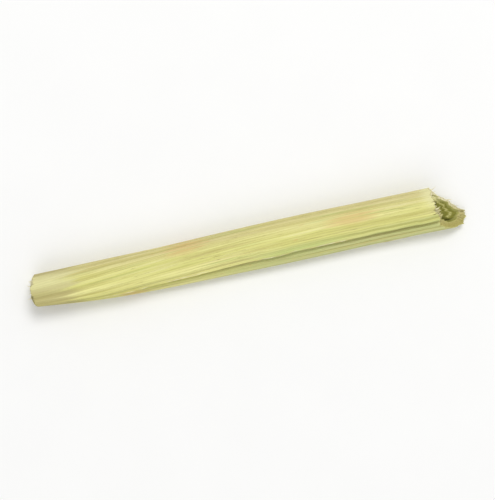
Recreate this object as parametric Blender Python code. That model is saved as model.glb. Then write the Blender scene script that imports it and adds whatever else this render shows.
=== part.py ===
"""A dried, cut length of lemongrass stalk, lying on its side.

A leaf sheath is rolled a little more than once round, and a younger leaf is folded inside it. Each is
one sheet with a wall, carried along +X from the thin end to the thick end. A sheet is described by
three numbers: the fraction across it from its first edge to its last, the fraction along the length,
and the depth below the stalk's outside.
"""
import math

import bmesh
import bpy
import numpy as np

# Sizes of the whole length, in metres
LENGTH = 0.0435
HALF_WIDTH_THICK = 0.00224
HALF_WIDTH_THIN = 0.00176
HALF_HEIGHT_THICK = 0.00160
HALF_HEIGHT_THIN = 0.00150
SWELL_POWER = 6.0             # how soon the thin end swells to the full width
CORNERING = 0.045             # 0 is an ellipse, more is a rounder-cornered box
SIDE_BOW = 0.00008            # sideways bow of the straight edge, at the middle
WAVER = 0.00005               # slow unevenness of the axis and the width
AXIS_WAVES = 1.5              # waves of it in the axis over the whole length
AXIS_WAVES_START = 0.3        # part of a wave at which the axis begins
WIDTH_WAVES = 2.0
WIDTH_WAVER_PART = 0.5        # part of the waver that the width takes

# The underside: pressed flat in the middle, lifted a little at both ends
PRESSED_FLAT = 0.00010
END_LIFT = 0.00030
LIFT_POWER = 4.0

# The sheath's roll, angles measured from +Y round to +Z
SEAM_AT_THICK_END = math.radians(121.0)
SEAM_DRIFT = math.radians(40.0)
DRIFT_POWER = 3.0
OVERLAP = math.radians(50.0)
FULL_TURN = math.radians(360.0)
SHEATH_ROLL = FULL_TURN + OVERLAP
TUCK_ROLL = math.radians(80.0)  # the stretch in which the sheet slips in under its own edge

# Walls and the gaps between the layers
SHEATH_WALL = 0.00070
LEAF_WALL = 0.00063
LAYER_GAP = 0.00008
LIP_WIDTH = 0.06              # part of a sheet's width over which its free edges thin
OUTSIDE_LIP_THINNING = 0.42   # part of the wall gone from the outer face at the very edge
INSIDE_LIP_THINNING = 0.12    # the same from the inner face

# Ribs along the outside of the sheath
RIB_COUNT = 20
RIB_DEPTH = 0.00007
STRONG_RIB_EVERY = 4
WEAK_RIB_PART = 0.62

# The thick end's cut: nearly square on top, with a tongue of the lower wall left on the near side
THICK_CUT_BACK = 0.0029       # how far the top is cut back from the tip of the tongue
THICK_CUT_SIDE = 0.0002       # how much further back the far side is than the middle
TONGUE_SPREAD = 1.3           # half widths from the far side to where the tongue has its full length
TONGUE_TOP = 0.75             # part of the height below which the tongue begins

# The thin end's cut
THIN_CUT_CROWN = 0.0006       # how far its two sides are cut back from its middle
THIN_CUT_SIDE = 0.0001        # how much further back the far side is than the middle
THIN_CUT_RISE = 0.0003        # how much further back the top is than the bottom

# Both cuts
LEAF_SHORT_AT_THIN_END = 0.0005
LEAF_SHORT_AT_THICK_END = 0.0002
RAGGED = 0.00009              # how far the fibres stand out of and back from the cut plane
FINE_RAG_PART = 0.6           # part of it in finer waves
FINE_RAG_WAVES = 2.5          # how many of the finer waves to one of the others
SHEATH_THIN_CUT_WAVES = 9.0   # waves across the sheath's cut at each end
SHEATH_THICK_CUT_WAVES = 11.0
LEAF_THIN_CUT_WAVES = 4.0     # the same across the leaf's cuts
LEAF_THICK_CUT_WAVES = 5.0

# The leaf's clearances to the sheath's own edges, as angles
LEAF_TO_INNER_EDGE = math.radians(12.0)
LEAF_TO_TUCK = math.radians(5.0)

# Mesh density
POINTS_PER_RIB = 4
SHEATH_STATIONS = 19
LEAF_STEPS = 34
LEAF_STATIONS = 15
SHARP_EDGE = math.radians(38.0)

# Finishes: colours as they look on screen, and roughness
STRAW_COLOUR = (219, 210, 132)
STRAW_ROUGHNESS = 0.62
OLIVE_COLOUR = (150, 152, 84)
OLIVE_ROUGHNESS = 0.70


def ease(value):
    """A smooth step from 0 to 1, level at both ends."""
    inside = np.clip(value, 0.0, 1.0)
    return inside * inside * (3.0 - 2.0 * inside)


def waver(along, waves, start=0.0):
    """Slow unevenness along the length, as a stalk that dried in its own shape has."""
    return WAVER * math.sin(FULL_TURN * (waves * along + start))


def half_width(along):
    """Half of the stalk's width at a fraction along its length."""
    swell = (HALF_WIDTH_THICK - HALF_WIDTH_THIN) * (1.0 - along) ** SWELL_POWER
    return HALF_WIDTH_THICK - swell + WIDTH_WAVER_PART * waver(along, WIDTH_WAVES)


def half_height(along):
    """Half of the stalk's height at a fraction along its length."""
    return HALF_HEIGHT_THIN + (HALF_HEIGHT_THICK - HALF_HEIGHT_THIN) * along


def seam_angle(along):
    """The angle at which the sheath's outer edge lies, which drifts round towards the thin end."""
    return SEAM_AT_THICK_END + SEAM_DRIFT * (1.0 - along) ** DRIFT_POWER


def side_shift(along):
    """The axis's place in Y, which keeps the far edge nearly straight while the width changes."""
    bow = SIDE_BOW * (1.0 - (2.0 * along - 1.0) ** 2)
    return HALF_WIDTH_THICK - half_width(along) + bow + waver(along, AXIS_WAVES, AXIS_WAVES_START)


def axis_height(along):
    """The axis's place in Z, which presses the middle of the underside below the ground plane."""
    lift = END_LIFT * abs(2.0 * along - 1.0) ** LIFT_POWER
    return half_height(along) - PRESSED_FLAT + lift


def place(angle, along, depth):
    """Y and Z of points at angles round the section, at depths below its outside."""
    wide = (half_width(along) - depth) / (1.0 - CORNERING)
    high = (half_height(along) - depth) / (1.0 - CORNERING)
    y = wide * (np.cos(angle) - CORNERING * np.cos(3.0 * angle)) + side_shift(along)
    z = high * (np.sin(angle) + CORNERING * np.sin(3.0 * angle)) + axis_height(along)
    return y, z


def to_far_side(y, along):
    """How far to the far side points lie, from -1 at the near side to 1 at the far side."""
    return (y - side_shift(along)) / half_width(along)


def to_top(z, along):
    """How high points lie, from 0 at the bottom of the section to 1 at its top."""
    return 0.5 + 0.5 * (z - axis_height(along)) / half_height(along)


def thick_cut(y, z):
    """X of the cut through the thick end, with its tongue below and on the near side."""
    side = to_far_side(y, 1.0)
    across = np.clip((1.0 - side) / TONGUE_SPREAD, 0.0, 1.0)
    tongue = across * ease(1.0 - to_top(z, 1.0) / TONGUE_TOP)
    return LENGTH / 2.0 - THICK_CUT_BACK * (1.0 - tongue) - THICK_CUT_SIDE * side


def thin_cut(y, z):
    """X of the cut through the thin end, whose two sides are cut back from its middle."""
    side = to_far_side(y, 0.0)
    back = THIN_CUT_CROWN * side ** 2 + THIN_CUT_SIDE * side + THIN_CUT_RISE * to_top(z, 0.0)
    return back - LENGTH / 2.0


def ragged(across, waves):
    """How unevenly a cut has gone through the fibres, as an offset along X."""
    phase = FULL_TURN * waves * across
    return RAGGED * (np.sin(phase) + FINE_RAG_PART * np.sin(FINE_RAG_WAVES * phase))


def wall_faces(across, wall):
    """Depths of a sheet's two faces below its own outside, with both free edges thinned."""
    near_edge = 1.0 - ease(np.minimum(across, 1.0 - across) / LIP_WIDTH)
    return wall * OUTSIDE_LIP_THINNING * near_edge, wall * (1.0 - INSIDE_LIP_THINNING * near_edge)


def rib_valley(across):
    """Depth of the valleys between the ribs, with the crests on the outside itself."""
    phase = across * RIB_COUNT
    wave = 0.5 - 0.5 * np.cos(FULL_TURN * phase)
    strong = np.rint(phase - 0.5) % STRONG_RIB_EVERY == 0
    return RIB_DEPTH * wave * np.where(strong, 1.0, WEAK_RIB_PART)


def sheath_tuck(across):
    """How far the sheath has moved in, so that its inner edge lies under its outer edge."""
    start = (FULL_TURN - TUCK_ROLL) / SHEATH_ROLL
    end = FULL_TURN / SHEATH_ROLL
    return (SHEATH_WALL + LAYER_GAP) * ease((across - start) / (end - start))


def sheath_section(across, along):
    """The outer and the inner line of the sheath at one station, each an array of points."""
    angle = seam_angle(along) - across * SHEATH_ROLL
    tuck = sheath_tuck(across)
    outer_face, inner_face = wall_faces(across, SHEATH_WALL)
    lines = []
    for depth in (tuck + outer_face + rib_valley(across), tuck + inner_face):
        y, z = place(angle, along, depth)
        z = np.maximum(z, 0.0)
        start = thin_cut(y, z) + ragged(across, SHEATH_THIN_CUT_WAVES)
        end = thick_cut(y, z) + ragged(across, SHEATH_THICK_CUT_WAVES)
        x = start * (1.0 - along) + end * along
        lines.append(np.stack((x, y, z), axis=-1))
    return lines


def leaf_section(across, along):
    """The outer and the inner line of the folded leaf at one station."""
    first = seam_angle(along) - OVERLAP - LEAF_TO_INNER_EDGE
    last = seam_angle(along) - FULL_TURN + TUCK_ROLL + LEAF_TO_TUCK
    angle = first + across * (last - first)
    outside = SHEATH_WALL + LAYER_GAP
    lines = []
    for face in wall_faces(across, LEAF_WALL):
        y, z = place(angle, along, outside + face)
        start = thin_cut(y, z) + LEAF_SHORT_AT_THIN_END + ragged(across, LEAF_THIN_CUT_WAVES)
        end = thick_cut(y, z) - LEAF_SHORT_AT_THICK_END + ragged(across, LEAF_THICK_CUT_WAVES)
        x = start * (1.0 - along) + end * along
        lines.append(np.stack((x, y, z), axis=-1))
    return lines


def extrude_sheet(name, section, steps, stations, material):
    """Extrude a strip of faces through the stations, and move each copy onto its section."""
    across = np.linspace(0.0, 1.0, steps + 1)
    shapes = [np.concatenate(section(across, along)) for along in np.linspace(0.0, 1.0, stations)]
    bm = bmesh.new()
    number = bm.verts.layers.int.new("place_in_section")
    corners = []
    for index, point in enumerate(shapes[0]):
        corner = bm.verts.new(point)
        corner[number] = index
        corners.append(corner)
    inner = steps + 1
    cap = []
    for step in range(steps):
        ring = (step, step + 1, inner + step + 1, inner + step)
        cap.append(bm.faces.new([corners[index] for index in ring]))
    for shape in shapes[1:]:
        edges = list(dict.fromkeys(edge for face in cap for edge in face.edges))
        made = bmesh.ops.extrude_face_region(bm, geom=cap + edges)["geom"]
        cap = [item for item in made if isinstance(item, bmesh.types.BMFace)]
        for corner in made:
            if isinstance(corner, bmesh.types.BMVert):
                corner.co = shape[corner[number]]
    bmesh.ops.recalc_face_normals(bm, faces=bm.faces)
    mesh = bpy.data.meshes.new(name)
    bm.to_mesh(mesh)
    bm.free()
    mesh.shade_smooth()
    mesh.set_sharp_from_angle(angle=SHARP_EDGE)
    mesh.materials.append(material)
    piece = bpy.data.objects.new(name, mesh)
    bpy.context.scene.collection.objects.link(piece)
    return piece


def linear(red, green, blue):
    """A colour given as it looks on screen, 0 to 255, as the linear values a shader takes."""
    shares = (value / 255.0 for value in (red, green, blue))
    return tuple(s / 12.92 if s <= 0.04045 else ((s + 0.055) / 1.055) ** 2.4 for s in shares) + (1.0,)


def plant_material(name, colour, roughness):
    """A matt Principled material for dried leaf."""
    material = bpy.data.materials.new(name)
    material.use_nodes = True
    shader = material.node_tree.nodes["Principled BSDF"]
    shader.inputs["Base Color"].default_value = colour
    shader.inputs["Roughness"].default_value = roughness
    shader.inputs["Metallic"].default_value = 0.0
    return material


def centre_on_ground(pieces):
    """Move the pieces so that the middle of their common box lies over the origin."""
    bpy.context.view_layer.update()
    corners = np.array([corner.co for piece in pieces for corner in piece.data.vertices])
    middle = (corners.min(axis=0) + corners.max(axis=0)) / 2.0
    for piece in pieces:
        for corner in piece.data.vertices:
            corner.co.x -= middle[0]
            corner.co.y -= middle[1]


def main():
    """Clear the scene and make the two pieces of the stalk."""
    for old in list(bpy.data.objects):
        bpy.data.objects.remove(old, do_unlink=True)
    straw = plant_material("dry_straw_sheath", linear(*STRAW_COLOUR), STRAW_ROUGHNESS)
    olive = plant_material("dry_olive_leaf", linear(*OLIVE_COLOUR), OLIVE_ROUGHNESS)
    sheath = extrude_sheet("outer_sheath", sheath_section, RIB_COUNT * POINTS_PER_RIB,
                           SHEATH_STATIONS, straw)
    leaf = extrude_sheet("inner_leaf", leaf_section, LEAF_STEPS, LEAF_STATIONS, olive)
    centre_on_ground([sheath, leaf])


main()
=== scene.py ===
"""The looks of a dried, cut length of lemongrass stalk that lies on its side.

A straw-coloured leaf sheath is rolled a little more than once round a folded olive-green leaf.
Both are sheets with a wall. Each is worked out here from three numbers that run from 0 to 1: across
the sheet, along the stalk, and down through the wall. The two sheets follow the same rule as the
stalk's solids, with finer ribs, veins and torn cuts, and loose fibres are added where the knife and
the drying left them.
"""

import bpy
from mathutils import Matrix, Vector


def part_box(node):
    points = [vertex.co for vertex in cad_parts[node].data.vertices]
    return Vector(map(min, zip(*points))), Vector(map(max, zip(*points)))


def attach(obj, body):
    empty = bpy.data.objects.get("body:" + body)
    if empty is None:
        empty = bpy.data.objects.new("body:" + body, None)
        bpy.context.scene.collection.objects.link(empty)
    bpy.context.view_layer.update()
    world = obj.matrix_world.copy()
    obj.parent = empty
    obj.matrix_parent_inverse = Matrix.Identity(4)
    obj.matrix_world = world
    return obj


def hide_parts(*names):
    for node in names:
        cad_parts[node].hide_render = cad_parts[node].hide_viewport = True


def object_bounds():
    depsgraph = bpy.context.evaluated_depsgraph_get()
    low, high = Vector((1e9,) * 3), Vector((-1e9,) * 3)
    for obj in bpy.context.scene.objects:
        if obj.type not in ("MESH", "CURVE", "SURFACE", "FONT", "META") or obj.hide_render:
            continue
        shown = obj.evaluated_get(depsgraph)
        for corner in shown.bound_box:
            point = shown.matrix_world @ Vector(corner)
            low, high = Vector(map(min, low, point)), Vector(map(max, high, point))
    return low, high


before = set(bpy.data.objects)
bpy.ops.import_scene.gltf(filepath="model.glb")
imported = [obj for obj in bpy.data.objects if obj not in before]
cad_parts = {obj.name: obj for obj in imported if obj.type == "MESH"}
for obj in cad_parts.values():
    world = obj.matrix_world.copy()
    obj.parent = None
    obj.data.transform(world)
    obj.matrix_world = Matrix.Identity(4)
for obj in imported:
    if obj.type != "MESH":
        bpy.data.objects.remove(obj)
CAD_BOX = [list(corner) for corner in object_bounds()]

import logging
import math
from dataclasses import dataclass
from enum import Enum
from typing import Callable, Union

import bpy
import numpy as np
from numpy.typing import NDArray

Array = NDArray[np.float64]
Pair = tuple[float, float]
Triple = tuple[float, float, float]
Colour = Triple
Surface = Callable[[Array, Array, Array], Array]
Piece = bpy.types.Object
Socket = bpy.types.NodeSocket

MILLIMETRE = 0.001
TURN = 2.0 * math.pi
ROOT_BODY = "root"
SHARP_EDGE = math.radians(48.0)
END_CROWDING = 0.86         # how much closer the steps along the stalk lie at its ends
CUT_SHARE = 0.0015          # the part of the length, at each end, that counts as the cut
SOLID_POINTS = (81, 19, 2)  # the points across, along and through the wall of the sheath's solid

log = logging.getLogger("lemongrass")


def ease(value: Array, start: float = 0.0, end: float = 1.0) -> Array:
    """A smooth step from 0 to 1.

    Args:
        value: where on the step each point is.
        start: the value at which the step begins.
        end: the value at which it is complete.

    Returns:
        3 t^2 - 2 t^3, with t the part of the way from start to end, held between 0 and 1.
    """
    part = np.clip((value - start) / (end - start), 0.0, 1.0)
    return part * part * (3.0 - 2.0 * part)


def cosine_wave(turns: Array) -> Array:
    """A wave between 0 and 1.

    Args:
        turns: how many waves have passed at each point.

    Returns:
        0.5 - 0.5 cos(2 pi turns), which is 0 at each whole number.
    """
    return 0.5 - 0.5 * np.cos(TURN * turns)


def linear(red: float, green: float, blue: float) -> Colour:
    """Turn a colour as it looks on screen into the linear values that a shader takes.

    Args:
        red: the red value, 0 to 255.
        green: the green value, 0 to 255.
        blue: the blue value, 0 to 255.

    Returns:
        The three linear values, 0 to 1, by the sRGB curve.
    """
    shares = [value / 255.0 for value in (red, green, blue)]
    made = [s / 12.92 if s <= 0.04045 else ((s + 0.055) / 1.055) ** 2.4 for s in shares]
    return (made[0], made[1], made[2])


@dataclass(frozen=True)
class Unevenness:
    """Smooth random unevenness over two numbers from 0 to 1, the same on each run."""

    seed: int
    cells: tuple[int, int]

    def at(self, first: Array, second: Array) -> Array:
        """Read the unevenness.

        Random heights stand on the corners of a grid of cells. A point takes the heights of its
        cell's four corners, weighted by a smooth step in each direction.

        Args:
            first: the first number at each point.
            second: the second number at each point.

        Returns:
            The height at each point, from -1 to 1.
        """
        rng = np.random.default_rng(self.seed)
        heights = rng.uniform(-1.0, 1.0, (self.cells[0] + 2, self.cells[1] + 2))
        place_a = np.clip(first, 0.0, 1.0) * self.cells[0]
        place_b = np.clip(second, 0.0, 1.0) * self.cells[1]
        cell_a, cell_b = place_a.astype(int), place_b.astype(int)
        part_a, part_b = ease(place_a - cell_a), ease(place_b - cell_b)
        near, far = (heights[cell_a + step, cell_b] * (1.0 - part_b)
                     + heights[cell_a + step, cell_b + 1] * part_b for step in (0, 1))
        return near * (1.0 - part_a) + far * part_a

    def share_at(self, first: Array, second: Array) -> Array:
        """The unevenness as a share from 0 to 1."""
        return 0.5 + 0.5 * self.at(first, second)


@dataclass(frozen=True)
class Waver:
    """A slow sine along the stalk: its height, how many waves it has, and its start in turns."""

    height: float
    waves: float
    start: float = 0.0

    def at(self, along: Array) -> Array:
        """The waver in metres at fractions along the stalk."""
        return self.height * np.sin(TURN * (self.waves * along + self.start))


@dataclass(frozen=True)
class StalkForm:
    """The stalk's form, by the same rule and sizes as its solids, in metres and radians."""

    length: float = 0.0435
    half_width_thick: float = 0.00224
    half_width_thin: float = 0.00176
    half_height_thick: float = 0.00160
    half_height_thin: float = 0.00150
    swell_power: float = 6.0
    cornering: float = 0.045
    side_bow: float = 0.00008
    width_waver: Waver = Waver(0.000025, 2.0)
    axis_waver: Waver = Waver(0.00005, 1.5, 0.3)
    pressed_flat: float = 0.00010
    end_lift: float = 0.00030
    lift_power: float = 4.0
    seam_at_thick_end: float = math.radians(121.0)
    seam_drift: float = math.radians(40.0)
    drift_power: float = 3.0
    overlap: float = math.radians(50.0)
    tuck_roll: float = math.radians(80.0)
    sheath_wall: float = 0.00070
    leaf_wall: float = 0.00063
    layer_gap: float = 0.00008
    lip_width: float = 0.06
    outside_lip_thinning: float = 0.42
    inside_lip_thinning: float = 0.12
    rib_count: int = 20
    rib_depth: float = 0.00007
    strong_rib_every: int = 4
    weak_rib_part: float = 0.62
    thick_cut_back: float = 0.0029
    thick_cut_side: float = 0.0002
    tongue_spread: float = 1.3
    tongue_top: float = 0.75
    thin_cut_crown: float = 0.0006
    thin_cut_side: float = 0.0001
    thin_cut_rise: float = 0.0003
    leaf_short: Pair = (0.0005, 0.0002)
    ragged: float = 0.00009
    fine_rag_part: float = 0.6
    fine_rag_waves: float = 2.5
    sheath_cut_waves: Pair = (9.0, 11.0)
    leaf_cut_waves: Pair = (4.0, 5.0)
    leaf_to_inner_edge: float = math.radians(12.0)
    leaf_to_tuck: float = math.radians(5.0)
    shift: Pair = (0.0, 0.0)

    @property
    def roll(self) -> float:
        """The angle that the sheath turns through, from its outer edge to its inner edge."""
        return TURN + self.overlap

    def half_width(self, along: Array) -> Array:
        """Half of the width: the thick end's, less a power of the way left to it, with a waver."""
        swell = (self.half_width_thick - self.half_width_thin) * (1.0 - along) ** self.swell_power
        return self.half_width_thick - swell + self.width_waver.at(along)

    def half_height(self, along: Array) -> Array:
        """Half of the height, which runs evenly from the thin end's to the thick end's."""
        return self.half_height_thin + (self.half_height_thick - self.half_height_thin) * along

    def seam_angle(self, along: Array) -> Array:
        """The angle of the sheath's outer edge: a power of the way left to the thick end."""
        return self.seam_at_thick_end + self.seam_drift * (1.0 - along) ** self.drift_power

    def side_shift(self, along: Array) -> Array:
        """The axis's Y, which keeps the far edge nearly straight, with a bow and a waver."""
        bow = self.side_bow * (1.0 - (2.0 * along - 1.0) ** 2)
        return self.half_width_thick - self.half_width(along) + bow + self.axis_waver.at(along)

    def axis_height(self, along: Array) -> Array:
        """The axis's Z: half of the height, less the pressed flat, with both ends lifted."""
        lift = self.end_lift * np.abs(2.0 * along - 1.0) ** self.lift_power
        return self.half_height(along) - self.pressed_flat + lift

    def place(self, angle: Array, along: Array, depth: Array) -> tuple[Array, Array]:
        """Find points of the section.

        Y is the width times cos a - c cos 3a, and Z the height times sin a + c sin 3a, which makes
        an ellipse a little boxy. Both the width and the height are less by the depth.

        Args:
            angle: angles round the section, from +Y to +Z.
            along: fractions along the stalk.
            depth: depths below the outside, in metres.

        Returns:
            Y and Z, in metres, before the stalk is centred.
        """
        wide = (self.half_width(along) - depth) / (1.0 - self.cornering)
        high = (self.half_height(along) - depth) / (1.0 - self.cornering)
        y = wide * (np.cos(angle) - self.cornering * np.cos(3.0 * angle)) + self.side_shift(along)
        z = high * (np.sin(angle) + self.cornering * np.sin(3.0 * angle)) + self.axis_height(along)
        return y, z

    def to_far_side(self, y: Array, along: Array) -> Array:
        """How far to the far side points lie: Y from the axis over half of the width, -1 to 1."""
        return (y - self.side_shift(along)) / self.half_width(along)

    def to_top(self, z: Array, along: Array) -> Array:
        """How high points lie: Z from the axis over half of the height, as 0 to 1."""
        return 0.5 + 0.5 * (z - self.axis_height(along)) / self.half_height(along)

    def thick_cut(self, y: Array, z: Array) -> Array:
        """Find X on the thick end's cut.

        The cut lies back from the tip, further on the far side, and less by a tongue. The tongue
        grows evenly from the far side, and by a smooth step from below the top down.

        Args:
            y: Y of the points.
            z: Z of the points.

        Returns:
            X of the cut there.
        """
        at = np.float64(1.0)
        side = self.to_far_side(y, at)
        below = 1.0 - self.to_top(z, at) / self.tongue_top
        tongue = np.clip((1.0 - side) / self.tongue_spread, 0.0, 1.0) * ease(below)
        return self.length / 2.0 - self.thick_cut_back * (1.0 - tongue) - self.thick_cut_side * side

    def thin_cut(self, y: Array, z: Array) -> Array:
        """Find X on the thin end's cut.

        Its two sides are cut back from its middle by the square of the way to them, and it leans a
        little over the sides and the height.

        Args:
            y: Y of the points.
            z: Z of the points.

        Returns:
            X of the cut there.
        """
        at = np.float64(0.0)
        side = self.to_far_side(y, at)
        lean = self.thin_cut_side * side + self.thin_cut_rise * self.to_top(z, at)
        return self.thin_cut_crown * side ** 2 + lean - self.length / 2.0

    def raggedness(self, across: Array, waves: float) -> Array:
        """How unevenly a cut went through the fibres: two sines across the sheet."""
        fine = self.fine_rag_part * np.sin(self.fine_rag_waves * TURN * waves * across)
        return self.ragged * (np.sin(TURN * waves * across) + fine)

    def between_cuts(self, across: Array, along: Array, y: Array, z: Array,
                     waves: Pair, short: Pair = (0.0, 0.0)) -> Array:
        """Find X, which runs evenly along the stalk from the thin end's cut to the thick end's.

        Args:
            across: fractions across the sheet.
            along: fractions along the stalk.
            y: Y of the points.
            z: Z of the points.
            waves: how many waves of raggedness go across each cut, the thin end's first.
            short: how far the sheet stops short of each cut.

        Returns:
            X in metres, before the stalk is centred.
        """
        start = self.thin_cut(y, z) + short[0] + self.raggedness(across, waves[0])
        end = self.thick_cut(y, z) - short[1] + self.raggedness(across, waves[1])
        return start * (1.0 - along) + end * along

    def near_cuts(self, along: Array, reach: float) -> tuple[Array, Array]:
        """How near the thick and the thin cut are: e to the power of minus the way in reaches."""
        share = reach / self.length
        return np.exp(-(1.0 - along) / share), np.exp(-along / share)

    def centred(self, x: Array, y: Array, z: Array) -> Array:
        """Points of shape (n, 3) in the row frame, moved by the stalk's shift."""
        return np.stack((x + self.shift[0], y + self.shift[1], z), axis=-1)

    def wall_faces(self, across: Array, wall: float) -> tuple[Array, Array]:
        """Find the depths of a sheet's two faces below its outside.

        Args:
            across: fractions across the sheet.
            wall: its thickness in metres.

        Returns:
            The outer and the inner face's depth, with both free edges thinned by a smooth step.
        """
        near_edge = 1.0 - ease(np.minimum(across, 1.0 - across) / self.lip_width)
        outer = wall * self.outside_lip_thinning * near_edge
        return outer, wall * (1.0 - self.inside_lip_thinning * near_edge)

    def rib_valley(self, across: Array) -> Array:
        """Depth of the valleys between the ribs: a cosine wave, deeper at each strong rib."""
        strong = np.rint(across * self.rib_count - 0.5) % self.strong_rib_every == 0
        part = np.where(strong, 1.0, self.weak_rib_part)
        return self.rib_depth * cosine_wave(across * self.rib_count) * part

    def tuck(self, across: Array) -> Array:
        """How far the sheath has moved in by a smooth step, so that it slips under its own edge."""
        start = (TURN - self.tuck_roll) / self.roll
        return (self.sheath_wall + self.layer_gap) * ease(across, start, TURN / self.roll)


def closed_sheet(name: str, surface: Surface, counts: tuple[int, int, int]) -> Piece:
    """Make a sheet with a wall as one closed mesh.

    The sheet's three numbers span a box. The box's six sides are grids of quads on one lattice, so
    the outer face, the inner face, both free edges and both cuts share their border points. The
    surface function then carries each lattice point to its place.

    Args:
        name: the object's name.
        surface: gives points of shape (n, 3) for n values of across, along and depth.
        counts: how many points the lattice has across the sheet, along it and through its wall.

    Returns:
        The object, with the three numbers kept as the point attribute "sheet".
    """
    across = np.linspace(0.0, 1.0, counts[0])
    along = crowded_to_ends(counts[1])
    depth = np.linspace(0.0, 1.0, counts[2])
    lattice = np.arange(math.prod(counts)).reshape(counts)
    sides = [lattice[:, :, 0], lattice[:, :, -1].T, lattice[:, 0, :].T, lattice[:, -1, :],
             lattice[0, :, :], lattice[-1, :, :].T]
    quads = [np.stack((s[:-1, :-1], s[1:, :-1], s[1:, 1:], s[:-1, 1:]), axis=-1).reshape(-1, 4)
             for s in sides]
    used, faces = np.unique(np.concatenate(quads), return_inverse=True)
    i, j, k = np.unravel_index(used, counts)
    numbers = (across[i], along[j], depth[k])
    piece = mesh_object(name, surface(*numbers), faces.reshape(-1, 4))
    keep_vector(piece, "sheet", np.stack(numbers, axis=-1))
    return piece


def in_scene(name: str, data: bpy.types.ID) -> Piece:
    """Put an object into the scene.

    Args:
        name: the object's name.
        data: its mesh, light or camera.

    Returns:
        The object.
    """
    made = bpy.data.objects.new(name, data)
    bpy.context.scene.collection.objects.link(made)
    return made


def mesh_object(name: str, points: Array, faces: NDArray[np.int64]) -> Piece:
    """Put points and quads into a smooth-shaded object at the origin, facing outwards.

    Args:
        name: the object's name.
        points: the points, in the row frame.
        faces: four point numbers a face, all turned the same way round closed bodies.

    Returns:
        The object. Its faces are turned round where the volume that they enclose is negative.
    """
    a, b, c, d = (points[faces[:, corner]] for corner in range(4))
    volume = np.einsum("ij,ij->", a, np.cross(b, c)) + np.einsum("ij,ij->", a, np.cross(c, d))
    if volume < 0.0:
        faces = faces[:, ::-1]
    mesh = bpy.data.meshes.new(name)
    mesh.from_pydata(points.tolist(), [], faces.tolist())
    mesh.validate()
    mesh.shade_smooth()
    mesh.set_sharp_from_angle(angle=SHARP_EDGE)
    return in_scene(name, mesh)


def keep_vector(piece: Piece, name: str, values: Array) -> None:
    """Store three numbers a point as an attribute that the materials read.

    Args:
        piece: the piece.
        name: the attribute's name.
        values: the numbers, of shape (n, 3).
    """
    layer = piece.data.attributes.new(name, "FLOAT_VECTOR", "POINT")
    layer.data.foreach_set("vector", np.ascontiguousarray(values, dtype=np.float32).ravel())


def read_vector(piece: Piece, name: str) -> Array:
    """Read three numbers a point.

    Args:
        piece: the piece.
        name: the attribute's name.

    Returns:
        The numbers, of shape (n, 3).
    """
    found = np.empty(len(piece.data.vertices) * 3, dtype=np.float32)
    piece.data.attributes[name].data.foreach_get("vector", found)
    return found.reshape(-1, 3).astype(float)


def crowded_to_ends(count: int) -> Array:
    """Make steps from 0 to 1 that lie closer together at both ends.

    Args:
        count: how many steps, ends included.

    Returns:
        t - c sin(2 pi t) / (2 pi) at even steps of t, with c the crowding.
    """
    even = np.linspace(0.0, 1.0, count)
    return even - END_CROWDING * np.sin(TURN * even) / TURN


def at_the_cuts(along: Array) -> Array:
    """Find which points lie on a cut.

    Args:
        along: fractions along the stalk.

    Returns:
        1 on either cut and 0 away from it, by a smooth step over the cut's share of the length.
    """
    return np.maximum(ease(along, 1.0 - CUT_SHARE, 1.0), ease(along, CUT_SHARE, 0.0))


def strands(name: str, paths: Array, radii: Array, sides: int, flatness: float) -> Piece:
    """Make thin closed strands along paths, as one mesh.

    Each strand is a ring of points carried along its path. A ring is an ellipse square to the path,
    with one of its two directions level. Both tips are closed with quads.

    Args:
        name: the object's name.
        paths: the strands' points, of shape (strands, steps, 3).
        radii: the radii at those points, of shape (strands, steps).
        sides: how many sides a strand has.
        flatness: the ellipse's upright radius as a part of its level one.

    Returns:
        The object.
    """
    count, steps, _ = paths.shape
    ahead = np.gradient(paths, axis=1)
    ahead /= np.linalg.norm(ahead, axis=2, keepdims=True)
    level = np.cross(ahead, np.array([0.0, 0.0, 1.0]))
    level /= np.linalg.norm(level, axis=2, keepdims=True)
    upright = np.cross(level, ahead) * flatness
    angles = np.arange(sides) * TURN / sides
    ring = (np.cos(angles)[:, None] * level[:, :, None, :]
            + np.sin(angles)[:, None] * upright[:, :, None, :])
    points = (paths[:, :, None, :] + radii[:, :, None, None] * ring).reshape(-1, 3)
    number = np.arange(count * steps * sides).reshape(count, steps, sides)
    after = np.roll(number, -1, axis=2)
    around = np.stack((number[:, :-1], after[:, :-1], after[:, 1:], number[:, 1:]), axis=-1)
    faces = [around.reshape(-1, 4)]
    for tip, order in ((number[:, 0], -1), (number[:, -1], 1)):
        for near in range(sides // 2 - 1):
            corners = [near, near + 1, sides - 2 - near, sides - 1 - near]
            faces.append(tip[:, corners[::order]])
    return mesh_object(name, points, np.concatenate(faces))


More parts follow.
